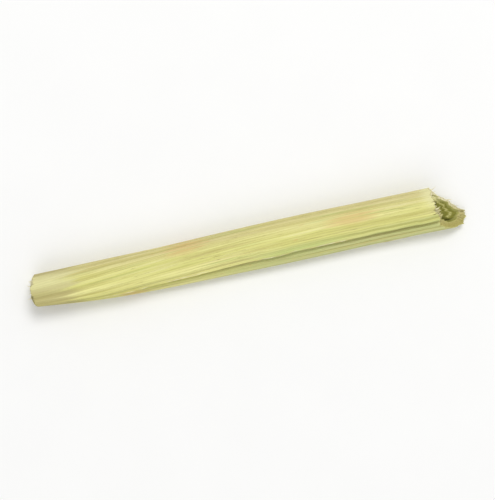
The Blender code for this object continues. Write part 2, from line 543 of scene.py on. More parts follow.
class Number:
    """A number in a shader. Each of Python's operators on it adds one Math node."""

    def __init__(self, graph: "Graph", socket: Socket) -> None:
        """Wrap an output socket of the graph."""
        self.graph = graph
        self.socket = socket

    def math(self, operation: str, *others: Union["Number", float]) -> "Number":
        """Add one Math node with this number first."""
        return self.graph.math(operation, self, *others)

    def __add__(self, other: Union["Number", float]) -> "Number":
        """The sum."""
        return self.math("ADD", other)

    __radd__ = __add__

    def __sub__(self, other: Union["Number", float]) -> "Number":
        """The difference."""
        return self.math("SUBTRACT", other)

    def __rsub__(self, other: float) -> "Number":
        """The difference from a plain number."""
        return self.graph.math("SUBTRACT", other, self)

    def __mul__(self, other: Union["Number", float]) -> "Number":
        """The product."""
        return self.math("MULTIPLY", other)

    __rmul__ = __mul__

    def cosine(self) -> "Number":
        """The cosine of this number in radians."""
        return self.math("COSINE")

    def size(self) -> "Number":
        """This number without its sign."""
        return self.math("ABSOLUTE")

    def eased(self, start: float, end: float) -> "Number":
        """Make a smooth step.

        Args:
            start: the number at which it is 0.
            end: the number at which it is 1, which may be the lower of the two.

        Returns:
            The step at this number.
        """
        low, high = min(start, end), max(start, end)
        made = self.graph.node("ShaderNodeMapRange", {"interpolation_type": "SMOOTHSTEP"},
                               {"Value": self, "From Min": low, "From Max": high})
        step = Number(self.graph, made.outputs["Result"])
        return step if start < end else 1.0 - step


Input = Union[Number, Socket, float, tuple[float, ...]]


class Graph:
    """The nodes of one material, around a Principled shader."""

    def __init__(self, name: str, roughness: float, specular: float) -> None:
        """Start a material.

        Args:
            name: the material's name.
            roughness: its roughness where nothing else is linked.
            specular: its specular level, the same all over.
        """
        self.material = bpy.data.materials.new(name)
        self.material.use_nodes = True
        self.tree = self.material.node_tree
        self.shader = self.tree.nodes["Principled BSDF"]
        self.shader.inputs["Roughness"].default_value = roughness
        self.shader.inputs["Specular IOR Level"].default_value = specular

    def link(self, value: Input, socket: Socket) -> None:
        """Give a socket a link or a value.

        Args:
            value: a shader number, another socket, a plain number or a colour.
            socket: the socket that takes it.
        """
        if isinstance(value, Number):
            value = value.socket
        if isinstance(value, Socket):
            self.tree.links.new(value, socket)
        elif isinstance(value, tuple) and socket.type == "RGBA":
            socket.default_value = (*value, 1.0)
        else:
            socket.default_value = value

    def node(self, kind: str, settings: dict[str, object],
             inputs: dict[Union[str, int], Input]) -> bpy.types.Node:
        """Add any node.

        Args:
            kind: the node's type.
            settings: its own settings, which are set first.
            inputs: values or links for its input sockets, by name or number.

        Returns:
            The node.
        """
        made = self.tree.nodes.new(kind)
        for key, value in settings.items():
            setattr(made, key, value)
        for key, value in inputs.items():
            self.link(value, made.inputs[key])
        return made

    def math(self, operation: str, *values: Union[Number, float]) -> Number:
        """Add a Math node and return its result."""
        made = self.node("ShaderNodeMath", {"operation": operation}, dict(enumerate(values)))
        return Number(self, made.outputs[0])

    def split(self, vector: Socket) -> tuple[Number, ...]:
        """The three numbers of a vector."""
        parts = self.node("ShaderNodeSeparateXYZ", {}, {0: vector}).outputs
        return tuple(Number(self, part) for part in parts)

    def attribute(self, name: str) -> tuple[Number, ...]:
        """The three numbers of one of the piece's own point attributes."""
        made = self.node("ShaderNodeAttribute", {"attribute_name": name}, {})
        return self.split(made.outputs["Vector"])

    def stretched(self, parts: tuple[Number, ...], scales: Triple) -> Socket:
        """A vector of three numbers, each times its own scale."""
        scaled = {index: part * scale for index, (part, scale) in enumerate(zip(parts, scales))}
        return self.node("ShaderNodeCombineXYZ", {}, scaled).outputs[0]

    def noise(self, vector: Socket, detail: float, warp: float = 0.0) -> Number:
        """Add smooth random values over a vector.

        Args:
            vector: the vector, in cells.
            detail: how many finer layers it has.
            warp: how far the cells are bent.

        Returns:
            The values, from 0 to 1.
        """
        made = self.node("ShaderNodeTexNoise", {"noise_dimensions": "3D"},
                         {"Vector": vector, "Scale": 1.0, "Detail": detail, "Distortion": warp})
        return Number(self, made.outputs["Fac"])

    def object_noise(self, per_metre: Triple, detail: float) -> Number:
        """Add smooth random values over the object's own coordinates.

        Args:
            per_metre: how many cells a metre has in X, Y and Z.
            detail: how many finer layers it has.

        Returns:
            The values, from 0 to 1.
        """
        place = self.node("ShaderNodeTexCoord", {}, {}).outputs["Object"]
        return self.noise(self.stretched(self.split(place), per_metre), detail)

    def dots(self, first: Number, second: Number, scatter: float = 0.8) -> Number:
        """Find the distance to the nearest of many scattered points, one a unit square.

        Args:
            first: the first number that the points lie over.
            second: the second one.
            scatter: 0 for points in rows, 1 for the most random ones.

        Returns:
            The distance.
        """
        flat = self.node("ShaderNodeCombineXYZ", {}, {0: first, 1: second}).outputs[0]
        made = self.node("ShaderNodeTexVoronoi", {"voronoi_dimensions": "2D"},
                         {"Vector": flat, "Scale": 1.0, "Randomness": scatter})
        return Number(self, made.outputs["Distance"])

    def mix(self, factor: Input, first: Input, second: Input) -> Socket:
        """A colour part of the way between two, by a factor that is held between 0 and 1."""
        made = self.node("ShaderNodeMix", {"data_type": "RGBA"}, {0: factor, 6: first, 7: second})
        return made.outputs[2]

    def bump(self, height: Number, distance: float, below: Union[Socket, None] = None) -> Socket:
        """Raise the surface's normal by a height.

        Args:
            height: the height, in parts of the distance.
            distance: how far a height of 1 stands out, in metres.
            below: another normal that this one lies over.

        Returns:
            The normal.
        """
        inputs: dict[Union[str, int], Input] = {"Strength": 1.0, "Distance": distance,
                                                "Height": height}
        if below is not None:
            inputs["Normal"] = below
        return self.node("ShaderNodeBump", {}, inputs).outputs["Normal"]

    def dress(self, piece: Piece, slot: str) -> None:
        """Give a piece this material.

        Args:
            piece: the piece.
            slot: not used.
        """
        piece.data.materials.clear()
        piece.data.materials.append(self.material)


@dataclass(frozen=True)
class SheetPlace:
    """Where a point lies on a sheet, as shader numbers."""

    across: Number
    along: Number
    depth: Number
    side: Number
    groove: Number
    cut: Number
    millimetres: tuple[Number, ...]

    @classmethod
    def read(cls, g: Graph, size_mm: Triple) -> "SheetPlace":
        """Read a sheet's own point attributes.

        Args:
            g: the material's graph.
            size_mm: how many millimetres the sheet counts as across, along and through its wall.

        Returns:
            The place, also in those millimetres.
        """
        sheet = g.attribute("sheet")
        millimetres = tuple(number * size for number, size in zip(sheet, size_mm))
        return cls(*sheet, *g.attribute("marks"), millimetres)


@dataclass(frozen=True)
class Grain:
    """Smooth random values over a sheet, with so many cells a millimetre across, along and deep."""

    per_mm: Triple
    detail: float
    warp: float = 0.0

    def over(self, g: Graph, place: SheetPlace) -> Number:
        """The values at a place on the sheet, from 0 to 1."""
        return g.noise(g.stretched(place.millimetres, self.per_mm), self.detail, self.warp)


@dataclass(frozen=True)
class Fade:
    """A smooth step from one value of a number to another, and how much it counts in full."""

    start: float
    end: float
    strength: float = 1.0

    def of(self, number: Number) -> Number:
        """The step at a number, times its strength."""
        return self.strength * number.eased(self.start, self.end)


@dataclass(frozen=True)
class Rise:
    """A straight line over a number: its value at 0, and how much more it is at 1."""

    low: float
    more: float

    def of(self, number: Number) -> Number:
        """The line's value at a number."""
        return self.low + self.more * number


@dataclass(frozen=True)
class Stain:
    """A soft rusty stain: its middle and its half size, along in millimetres, and to one side."""

    along_mm: float
    side: float
    half_length_mm: float
    half_side: float
    broken_up: Rise = Rise(-1.6, 3.2)
    edge: Fade = Fade(0.1, 1.3, 0.50)

    def strength(self, place: SheetPlace, thread: Number) -> Number:
        """How strong the stain is: 1 less the squares of the distances in half sizes, broken up.

        Args:
            place: where the point lies.
            thread: noise as wide as a thread, which breaks the stain up.

        Returns:
            The strength, from 0 to that of its edge's step.
        """
        far_along = (place.millimetres[1] - self.along_mm) * (1.0 / self.half_length_mm)
        far_side = (place.side - self.side) * (1.0 / self.half_side)
        inside = 1.0 - far_along * far_along - far_side * far_side
        return self.edge.of(inside + self.broken_up.of(thread))


@dataclass(frozen=True)
class SheathFinish:
    """The dried sheath's colours, as they look on screen, and where and how strongly each shows."""

    straw: Colour = linear(219, 217, 130)
    bright: Colour = linear(236, 232, 154)
    tan_and_far_shade: Colour = linear(212, 199, 142)
    green: Colour = linear(200, 207, 140)
    green_thread: Colour = linear(190, 202, 122)
    # the edge's own dark green, also used as painted shade under the edge
    seam_green_and_shade: Colour = linear(138, 150, 72)
    groove: Colour = linear(174, 163, 87)
    hairline: Colour = linear(146, 130, 68)
    ridge: Colour = linear(236, 230, 170)
    bleached: Colour = linear(232, 228, 172)
    # the darker colour of the thin end's near side
    thin_end_dark: Colour = linear(174, 162, 108)
    rust: Colour = linear(214, 172, 106)
    skin: Colour = linear(196, 184, 106)
    inside: Colour = linear(156, 154, 78)
    cut_cream: Colour = linear(240, 233, 196)
    cut_olive: Colour = linear(176, 168, 96)
    cut_pore: Colour = linear(150, 134, 72)
    size_mm: Triple = (15.0, 43.5, 0.7)
    vein_count: float = 80.0
    bundles_per_mm: float = 6.0
    specular: float = 0.35
    roughness: float = 0.56
    rough_threads: Rise = Rise(-0.08, 0.24)
    rough_fibres: float = -0.10
    rough_cut: float = 0.30
    grain_height: float = 0.026 * MILLIMETRE
    thread_height: float = 0.6
    vein_height: float = 0.16
    pit_height: float = 0.006 * MILLIMETRE

    thread_grain: Grain = Grain((5.5, 0.11, 1.0), 3.0)
    fibre_grain: Grain = Grain((22.0, 0.40, 5.0), 2.0)
    streak_grain: Grain = Grain((1.1, 0.045, 0.4), 3.0)
    drift_grain: Grain = Grain((2.6, 0.07, 0.4), 2.0)
    hair_grain: Grain = Grain((6.5, 0.05, 0.6), 2.0)
    speck_grain: Grain = Grain((2.2, 0.5, 1.0), 2.0, warp=0.4)
    sponge_grain: Grain = Grain((14.0, 2.0, 14.0), 1.0)
    pit_grain: Grain = Grain((9.0, 6.0, 9.0), 2.0)

    bright_streaks: Fade = Fade(0.38, 0.62)
    # painted shade: where the far flank turns tan
    far_band_shade: Fade = Fade(0.25, 0.85, 0.9)
    tan_threads: Rise = Rise(0.25, 1.1)
    green_across: Fade = Fade(0.54, 0.70)
    green_along: Fade = Fade(0.30, 0.62)
    green_threads: Rise = Rise(0.6, 0.4)
    green_drifts: Fade = Fade(0.56, 0.70, 0.55)
    tan_drifts: Fade = Fade(0.44, 0.30, 0.50)
    ridge_threads: Fade = Fade(0.54, 0.70, 0.45)
    veins: Fade = Fade(0.1, 1.0)
    vein_threads: Fade = Fade(0.70, 0.30, 0.55)
    # painted shade in the bottoms of the rib valleys
    valley_shade_threads: Rise = Rise(1.125, -0.9)
    ridge_fibres: Fade = Fade(0.55, 0.78, 0.35)
    groove_fibres: Fade = Fade(0.45, 0.25, 0.34)
    hairlines: Fade = Fade(0.008, 0.001, 0.60)

    stains: tuple[Stain, ...] = (Stain(16.7, 0.72, 3.2, 0.40), Stain(34.8, 0.36, 3.6, 0.42),
                                 Stain(9.5, -0.86, 1.9, 0.22))
    specks: Fade = Fade(0.67, 0.78, 0.5)
    flush_across: Fade = Fade(0.062, 0.022)
    flush_along: Fade = Fade(0.48, 0.62)
    flush_weaker: Fade = Fade(0.70, 0.80, 0.6)
    flush_threads: Rise = Rise(0.3375, 0.75)
    lip: Fade = Fade(0.010, 0.0)
    # painted shade: the band of the layer that lies under the outer edge
    shade_under_lip_starts: Fade = Fade(0.850, 0.872)
    shade_under_lip_ends: Fade = Fade(0.895, 0.880)
    seam_along: Fade = Fade(0.35, 0.62)
    seam_darker: Fade = Fade(0.62, 0.84)
    seam_strength: Rise = Rise(0.15, 0.35)

    end_threads_mm: Rise = Rise(-4.5, 9.0)
    thin_end_zone_mm: Fade = Fade(5.2, 3.0, 0.7)
    bleached_top: Fade = Fade(-0.3, 0.4)
    bleached_edge: Fade = Fade(0.98, 0.70)
    bleached_threads: Rise = Rise(0.4, 0.9)
    dried_threads: Rise = Rise(-0.025, 0.05)
    dried_along: Fade = Fade(0.965, 0.998)
    dried_side: Fade = Fade(-0.2, 0.6, 0.75)

    inner_face: Fade = Fade(0.85, 1.0)
    # painted light on the far side of the inner face
    lit_inside: Fade = Fade(0.22, 0.52, 0.85)
    cream_side: Fade = Fade(-0.9, 0.7)
    sponge: Fade = Fade(0.55, 0.40, 0.35)
    bundles: Fade = Fade(0.24, 0.12, 0.8)
    outer_skin: Fade = Fade(0.10, 0.03, 0.8)
    inner_skin: Fade = Fade(0.92, 0.98, 0.8)

    def vein_wave(self, place: SheetPlace) -> Number:
        """A cosine wave across the sheet, with one wave for each vein."""
        return (place.across * (TURN * self.vein_count)).cosine()

    def threads(self, g: Graph, place: SheetPlace, thread: Number, fibre: Number) -> Socket:
        """Colour the outer face: straw with streaks, pale and green threads, a tan far band of
        painted shade, ribs with painted shade in their valleys, and hairlines.

        Args:
            g: the material's graph.
            place: where the point lies.
            thread: noise as wide as a thread.
            fibre: noise as wide as a fibre.

        Returns:
            The colour.
        """
        drift = self.drift_grain.over(g, place)
        hair = self.hair_grain.over(g, place)
        streak = self.streak_grain.over(g, place)
        colour = g.mix(self.bright_streaks.of(streak), self.straw, self.bright)
        # painted shade: the far flank is mixed towards tan, as where it turns away from the light;
        # the tan drifts further down are random tone
        colour = g.mix(self.far_band_shade.of(place.side) * self.tan_threads.of(thread), colour, self.tan_and_far_shade)
        green_band = self.green_across.of(place.across) * self.green_along.of(place.along)
        colour = g.mix(green_band * self.green_threads.of(thread), colour, self.green)
        colour = g.mix(self.green_drifts.of(drift), colour, self.green_thread)
        colour = g.mix(self.tan_drifts.of(drift), colour, self.tan_and_far_shade)
        colour = g.mix(self.ridge_threads.of(thread), colour, self.ridge)
        vein = self.veins.of(self.vein_wave(place)) * self.vein_threads.of(thread)
        colour = g.mix(vein, colour, self.groove)
        # painted shade: the narrow bottoms of the rib valleys are darkened
        colour = g.mix(place.groove * self.valley_shade_threads.of(thread), colour, self.groove)
        colour = g.mix(self.ridge_fibres.of(fibre), colour, self.ridge)
        colour = g.mix(self.groove_fibres.of(fibre), colour, self.groove)
        return g.mix(self.hairlines.of((hair - 0.5).size()), colour, self.hairline)

    def seam(self, g: Graph, place: SheetPlace, thread: Number, colour: Socket) -> Socket:
        """Lay a green flush above the sheath's outer edge, a green line on the edge, and painted
        shade in that dark green under it.

        Args:
            g: the material's graph.
            place: where the point lies.
            thread: noise as wide as a thread.
            colour: the colour below.

        Returns:
            The colour with the flush and the line.
        """
        flush = self.flush_across.of(place.across) * self.flush_along.of(place.along)
        flush = flush * (1.0 - self.flush_weaker.of(place.along))
        colour = g.mix(flush * self.flush_threads.of(thread), colour, self.green_thread)
        # painted shade: the layer under the outer edge is darkened where the lip shades it
        shade_under_lip = self.shade_under_lip_starts.of(place.across) * self.shade_under_lip_ends.of(place.across)
        line = (self.lip.of(place.across) + shade_under_lip) * self.seam_along.of(place.along)
        line = line * self.seam_strength.of(self.seam_darker.of(place.along))
        return g.mix(line, colour, self.seam_green_and_shade)

    def ends(self, g: Graph, place: SheetPlace, thread: Number, colour: Socket) -> Socket:
        """Lay the thin end, bleached on its upper part and darker below it, and the dried rim of
        the thick end over a colour.

        Args:
            g: the material's graph.
            place: where the point lies.
            thread: noise as wide as a thread.
            colour: the colour below.

        Returns:
            The colour with both ends.
        """
        upper = self.bleached_top.of(place.side) * self.bleached_edge.of(place.side)
        # the thin end is darker towards the near side and bleached above
        thin_end_colour = g.mix(upper * self.bleached_threads.of(thread), self.thin_end_dark, self.bleached)
        uneven = place.millimetres[1] + self.end_threads_mm.of(thread)
        colour = g.mix(self.thin_end_zone_mm.of(uneven), colour, thin_end_colour)
        dried = self.dried_along.of(place.along + self.dried_threads.of(thread))
        return g.mix(dried * self.dried_side.of(place.side), colour, self.bleached)

    def cut_colour(self, g: Graph, place: SheetPlace) -> Socket:
        """Colour the cuts: cream on the far side, olive on the near side, with dark fibre ends.

        Args:
            g: the material's graph.
            place: where the point lies.

        Returns:
            The colour.
        """
        width, _, wall = place.millimetres
        bundles = g.dots(width * self.bundles_per_mm, wall * self.bundles_per_mm)
        face = g.mix(self.cream_side.of(place.side), self.cut_olive, self.cut_cream)
        face = g.mix(self.sponge.of(self.sponge_grain.over(g, place)), face, self.cut_pore)
        face = g.mix(self.bundles.of(bundles), face, self.cut_pore)
        skins = self.outer_skin.of(place.depth) + self.inner_skin.of(place.depth)
        return g.mix(skins, face, self.skin)

    def graph(self) -> Graph:
        """Make the sheath's material.

        Long streaks, threads and fibres are noise in the sheet's own millimetres, stretched along
        the stalk. Bands follow how far to one side a point lies, and the tan far band is painted
        shade. The valleys between the ribs are darker, painted shade in their narrow bottoms. The
        cuts have colours of their own, and the inside is olive, faded out on the far side as
        painted light.

        Returns:
            The material's graph.
        """
        g = Graph("dry_straw_sheath", self.roughness, self.specular)
        place = SheetPlace.read(g, self.size_mm)
        thread = self.thread_grain.over(g, place)
        fibre = self.fibre_grain.over(g, place)
        colour = self.threads(g, place, thread, fibre)
        colour = g.mix(self.specks.of(self.speck_grain.over(g, place)), colour, self.rust)
        for stain in self.stains:
            colour = g.mix(stain.strength(place, thread), colour, self.rust)
        colour = self.ends(g, place, thread, self.seam(g, place, thread, colour))
        # painted light and shade: the olive inner face shows fully on the near side and fades out
        # on the far side, as if lit there
        shaded = 1.0 - self.lit_inside.of(place.side)
        colour = g.mix(self.inner_face.of(place.depth) * shaded, colour, self.inside)
        g.link(g.mix(place.cut, colour, self.cut_colour(g, place)), g.shader.inputs["Base Color"])
        rough = self.roughness + self.rough_threads.of(thread) + self.rough_fibres * fibre
        g.link(rough + self.rough_cut * place.cut, g.shader.inputs["Roughness"])
        vein = self.vein_height * self.vein_wave(place) * (1.0 - place.cut)
        grain = g.bump(fibre + self.thread_height * thread + vein, self.grain_height)
        pits = g.bump(self.pit_grain.over(g, place), self.pit_height, grain)
        g.link(pits, g.shader.inputs["Normal"])
        return g


@dataclass(frozen=True)
class LeafFinish:
    """The folded leaf's colours, as they look on screen, and where each shows."""

    olive: Colour = linear(152, 150, 70)
    dark: Colour = linear(120, 119, 44)
    light: Colour = linear(186, 182, 106)
    cut_edge: Colour = linear(128, 126, 47)
    cut_middle: Colour = linear(206, 200, 130)
    # painted light: the paler colour of the leaf's far side
    pale: Colour = linear(228, 223, 162)
    size_mm: Triple = (5.0, 43.0, 0.63)
    bundles_per_mm: float = 5.0
    specular: float = 0.3
    roughness: float = 0.66
    rough_streaks: float = 0.15
    rough_fibres: float = -0.08
    fibre_height: float = 0.02 * MILLIMETRE
    streak_grain: Grain = Grain((1.8, 0.06, 0.6), 3.0)
    fibre_grain: Grain = Grain((18.0, 0.4, 5.0), 2.0)
    olive_streaks: Fade = Fade(0.35, 0.65)
    light_fibres: Fade = Fade(0.50, 0.75, 0.6)
    middle_starts: Fade = Fade(0.25, 0.5)
    middle_ends: Fade = Fade(0.75, 0.5, 0.75)
    bundles: Fade = Fade(0.26, 0.12, 0.7)
    lit_far_side: Fade = Fade(0.22, 0.52, 0.85)

    def graph(self) -> Graph:
        """Make the leaf's material.

        Streaks and fibres run along it, its cuts are paler in the middle of the wall, and it is
        paler all over on the far side, which is painted light.

        Returns:
            The material's graph.
        """
        g = Graph("dry_olive_leaf", self.roughness, self.specular)
        place = SheetPlace.read(g, self.size_mm)
        streak = self.streak_grain.over(g, place)
        fibre = self.fibre_grain.over(g, place)
        colour = g.mix(self.olive_streaks.of(streak), self.dark, self.olive)
        colour = g.mix(self.light_fibres.of(fibre), colour, self.light)
        width, _, wall = place.millimetres
        bundles = g.dots(width * self.bundles_per_mm, wall * self.bundles_per_mm)
        middle = self.middle_starts.of(place.depth) * self.middle_ends.of(place.depth)
        face = g.mix(middle, self.cut_edge, self.cut_middle)
        face = g.mix(self.bundles.of(bundles), face, self.dark)
        colour = g.mix(place.cut, colour, face)
        # painted light: the far side of the leaf is paler, as if lit
        colour = g.mix(self.lit_far_side.of(place.side), colour, self.pale)
        g.link(colour, g.shader.inputs["Base Color"])
        rough = self.roughness + self.rough_streaks * streak + self.rough_fibres * fibre
        g.link(rough, g.shader.inputs["Roughness"])
        g.link(g.bump(fibre, self.fibre_height), g.shader.inputs["Normal"])
        return g


@dataclass(frozen=True)
class FibreFinish:
    """The loose fibres' colours, as they look on screen."""

    pale: Colour = linear(240, 234, 196)
    straw: Colour = linear(208, 194, 128)
    cells_per_metre: Triple = (900.0, 6000.0, 6000.0)
    detail: float = 1.0
    pale_fibres: Fade = Fade(0.35, 0.65)
    specular: float = 0.35
    roughness: float = 0.6
    rough_fibres: Rise = Rise(0.5, 0.2)

    def graph(self) -> Graph:
        """Make the fibres' material: pale straw that changes from fibre to fibre.

        Returns:
            The material's graph.
        """
        g = Graph("dry_fibre", self.roughness, self.specular)
        tone = g.object_noise(self.cells_per_metre, self.detail)
        colour = g.mix(self.pale_fibres.of(tone), self.straw, self.pale)
        g.link(colour, g.shader.inputs["Base Color"])
        g.link(self.rough_fibres.of(tone), g.shader.inputs["Roughness"])
        return g


@dataclass(frozen=True)
class Notches:
    """Sharp notches at seeded places along an edge."""

    seed: int
    count: int
    half_width: float
    deepest: float
    places: Pair = (0.03, 0.97)
    depth_parts: Pair = (0.25, 1.0)
    width_parts: Pair = (0.6, 1.4)

    def at(self, value: Array) -> Array:
        """Read the notches.

        Args:
            value: where on the edge each point is, from 0 to 1.

        Returns:
            The sum of the notches' depths, each times the square of what is left of its half width.
        """
        rng = np.random.default_rng(self.seed)
        places = rng.uniform(*self.places, self.count)
        depths = self.deepest * rng.uniform(*self.depth_parts, self.count)
        widths = self.half_width * rng.uniform(*self.width_parts, self.count)
        near = np.maximum(1.0 - np.abs(value[:, None] - places) / widths, 0.0)
        return (depths * near ** 2).sum(axis=1)


@dataclass(frozen=True)
class RolledSheath:
    """The outer sheath: a ribbed sheet rolled a little more than once round."""

    form: StalkForm
    counts: tuple[int, int, int] = (321, 112, 7)
    vein_per_rib: float = 4.0
    vein_depth: float = 0.000016
    groove_depth: float = 0.000045
    wrinkle: float = 0.000014
    fine_wrinkle_part: float = 0.4
    edge_wander: float = 0.0035
    wander_across: float = 0.10
    lip_lift: float = 0.00006
    lift_across: float = 0.05
    fray: float = 0.00010
    fray_length: float = 0.0006
    split_length: float = 0.0011
    split_steps: Pair = (-0.6, 0.3)
    rim_depth: float = 0.15
    rim_cut_part: float = 0.35
    thick_splits: Notches = Notches(16, 9, 0.0050, 0.00060)
    thin_splits: Notches = Notches(17, 7, 0.0050, 0.00050)
    edge_nicks: Notches = Notches(18, 8, 0.0090, 0.0075)
    lifted: Unevenness = Unevenness(19, (14, 1))
    rib_tone: Unevenness = Unevenness(20, (40, 7))
    split_through: Unevenness = Unevenness(25, (40, 3))
    coarse: Unevenness = Unevenness(11, (46, 9))
    fine: Unevenness = Unevenness(12, (150, 46))
    edge: Unevenness = Unevenness(13, (26, 1))
    thick_fray: Unevenness = Unevenness(14, (150, 4))
    thin_fray: Unevenness = Unevenness(15, (150, 4))

    def groove(self, across: Array, along: Array) -> Array:
        """The valleys' narrow bottoms: the rib wave cubed, times a strength that varies slowly."""
        wave = cosine_wave(across * self.form.rib_count)
        return wave ** 3 * self.rib_tone.share_at(across, along)

    def depth_below(self, across: Array, along: Array, depth: Array) -> Array:
        """Find the depth below the stalk's outside.

        The outer face lies lower by the rib valleys, their narrow grooves, a cosine wave of veins
        and two sizes of wrinkles. The outer edge is lifted off a little, by a smooth step and slow
        unevenness.

        Args:
            across: from the outer edge to the inner edge.
            along: from the thin end to the thick end.
            depth: from the outer face to the inner face.

        Returns:
            The depth in metres.
        """
        outer, inner = self.form.wall_faces(across, self.form.sheath_wall)
        veins = self.vein_depth * cosine_wave(across * self.form.rib_count * self.vein_per_rib)
        relief = self.wrinkle * self.coarse.share_at(across, along)
        relief += self.fine_wrinkle_part * self.wrinkle * self.fine.share_at(across, along)
        valley = self.form.rib_valley(across) + self.groove_depth * self.groove(across, along)
        outer = outer + valley + veins + relief
        lift = self.lip_lift * self.lifted.share_at(along, np.zeros_like(along))
        lift = lift * (1.0 - ease(across, 0.0, self.lift_across))
        return self.form.tuck(across) + outer + (inner - outer) * depth - lift

    def torn(self, across: Array, along: Array, depth: Array) -> Array:
        """How far X moves where a cut is torn.

        Fibres stand out of the cuts and splits run in from them. Both die away from each end, as e
        to the power of minus the distance in their own reach.

        Args:
            across: from the outer edge to the inner edge.
            along: from the thin end to the thick end.
            depth: from the outer face to the inner face.

        Returns:
            The move in metres.
        """
        thick = self.thick_fray.at(across, depth)
        thin = self.thin_fray.at(across, depth)
        thick_near, thin_near = self.form.near_cuts(along, self.fray_length)
        fray = np.sign(thick) * thick ** 2 * thick_near - np.sign(thin) * thin ** 2 * thin_near
        through = ease(self.split_through.at(across, depth), *self.split_steps)
        thick_near, thin_near = self.form.near_cuts(along, self.split_length)
        thick_split = through * self.thick_splits.at(across) * thick_near
        return self.fray * fray - thick_split + through * self.thin_splits.at(across) * thin_near

    def surface(self, across: Array, along: Array, depth: Array) -> Array:
        """Carry the sheet's three numbers to its place.

        The angle round the stalk falls evenly across the sheet from the seam's angle, and the outer
        edge wanders a little. X runs evenly from one cut to the other, with torn fibres.

        Args:
            across: from the outer edge to the inner edge.
            along: from the thin end to the thick end.
            depth: from the outer face to the inner face.

        Returns:
            Points of shape (n, 3), in the row frame.
        """
        wander = self.edge_wander * self.edge.at(along, np.zeros_like(along))
        wander += self.edge_nicks.at(along)
        moved = across + wander * (1.0 - ease(across, 0.0, self.wander_across))
        angle = self.form.seam_angle(along) - moved * self.form.roll
        y, z = self.form.place(angle, along, self.depth_below(across, along, depth))
        z = np.maximum(z, 0.0)
        x = self.form.between_cuts(across, along, y, z, self.form.sheath_cut_waves)
        return self.form.centred(x + self.torn(across, along, depth), y, z)

    def marks(self, across: Array, along: Array, depth: Array, points: Array) -> Array:
        """Work out what the material needs at each point.

        Args:
            across: from the outer edge to the inner edge.
            along: from the thin end to the thick end.
            depth: from the outer face to the inner face.
            points: the finished points.

        Returns:
            How far to one side each point lies, -1 to 1, how strongly its valley bottom is painted
            with shade, and whether it is at a cut.
        """
        side = self.form.to_far_side(points[:, 1] - self.form.shift[1], along)
        groove = self.groove(across, along) * (1.0 - depth)
        inside_wall = ease(depth, 0.0, self.rim_depth) * ease(depth, 1.0, 1.0 - self.rim_depth)
        cut = at_the_cuts(along) * (self.rim_cut_part + (1.0 - self.rim_cut_part) * inside_wall)
        return np.stack((side, groove, cut), axis=-1)

    def build(self, finish: SheathFinish) -> Piece:
        """Make and dress the sheath.

        Args:
            finish: its colours.

        Returns:
            The finished piece, which stands for the solid outer sheath.
        """
        piece = closed_sheet("rolled_sheath", self.surface, self.counts)
        across, along, depth = read_vector(piece, "sheet").T
        marks = self.marks(across, along, depth, read_vector(piece, "position"))
        keep_vector(piece, "marks", marks)
        finish.graph().dress(piece, "straw_sheath")
        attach(piece, ROOT_BODY)
        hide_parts("outer_sheath")
        return piece


@dataclass(frozen=True)
class FoldedLeaf:
    """The younger leaf that is folded inside the sheath."""

    form: StalkForm
    counts: tuple[int, int, int] = (151, 96, 7)
    wrinkle: float = 0.000020
    fray: float = 0.00012
    fray_length: float = 0.0006
    coarse: Unevenness = Unevenness(21, (30, 12))
    thick_fray: Unevenness = Unevenness(22, (60, 4))
    thin_fray: Unevenness = Unevenness(23, (60, 4))

    def surface(self, across: Array, along: Array, depth: Array) -> Array:
        """Carry the leaf's three numbers to its place.

        It lies a gap inside the sheath, from short of the sheath's inner edge to short of the place
        where the sheath tucks in. Its wall has fine wrinkles, and X runs between the two cuts.

        Args:
            across: from its upper edge to its lower edge.
            along: from the thin end to the thick end.
            depth: from its outer face to its inner face.

        Returns:
            Points of shape (n, 3), in the row frame.
        """
        form = self.form
        first = form.seam_angle(along) - form.overlap - form.leaf_to_inner_edge
        last = form.seam_angle(along) - TURN + form.tuck_roll + form.leaf_to_tuck
        angle = first + across * (last - first)
        outer, inner = form.wall_faces(across, form.leaf_wall)
        outer = outer + self.wrinkle * self.coarse.share_at(across, along)
        inside = form.sheath_wall + form.layer_gap + outer + (inner - outer) * depth
        y, z = form.place(angle, along, inside)
        x = form.between_cuts(across, along, y, z, form.leaf_cut_waves, form.leaf_short)
        thick_near, thin_near = form.near_cuts(along, self.fray_length)
        torn = self.thick_fray.at(across, depth) * thick_near
        torn -= self.thin_fray.at(across, depth) * thin_near
        return form.centred(x + self.fray * torn, y, z)

    def build(self, finish: LeafFinish) -> Piece:
        """Make and dress the leaf.

        Args:
            finish: its colours.

        Returns:
            The finished piece, which stands for the solid inner leaf.
        """
        piece = closed_sheet("folded_leaf", self.surface, self.counts)
        along = read_vector(piece, "sheet")[:, 1]
        y = read_vector(piece, "position")[:, 1] - self.form.shift[1]
        side = self.form.to_far_side(y, along)
        marks = np.stack((side, np.zeros_like(side), at_the_cuts(along)), axis=-1)
        keep_vector(piece, "marks", marks)
        finish.graph().dress(piece, "olive_leaf")
        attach(piece, ROOT_BODY)
        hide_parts("inner_leaf")
        return piece


class StalkEnd(Enum):
    """The two cut ends, by their fraction along the stalk and the way that they face."""

    THIN = (0.0, -1.0)
    THICK = (1.0, 1.0)

    @property
    def along(self) -> float:
        """The end's fraction along the stalk."""
        return self.value[0]

    @property
    def outwards(self) -> float:
        """-1 if the end faces -X, 1 if it faces +X."""
        return self.value[1]


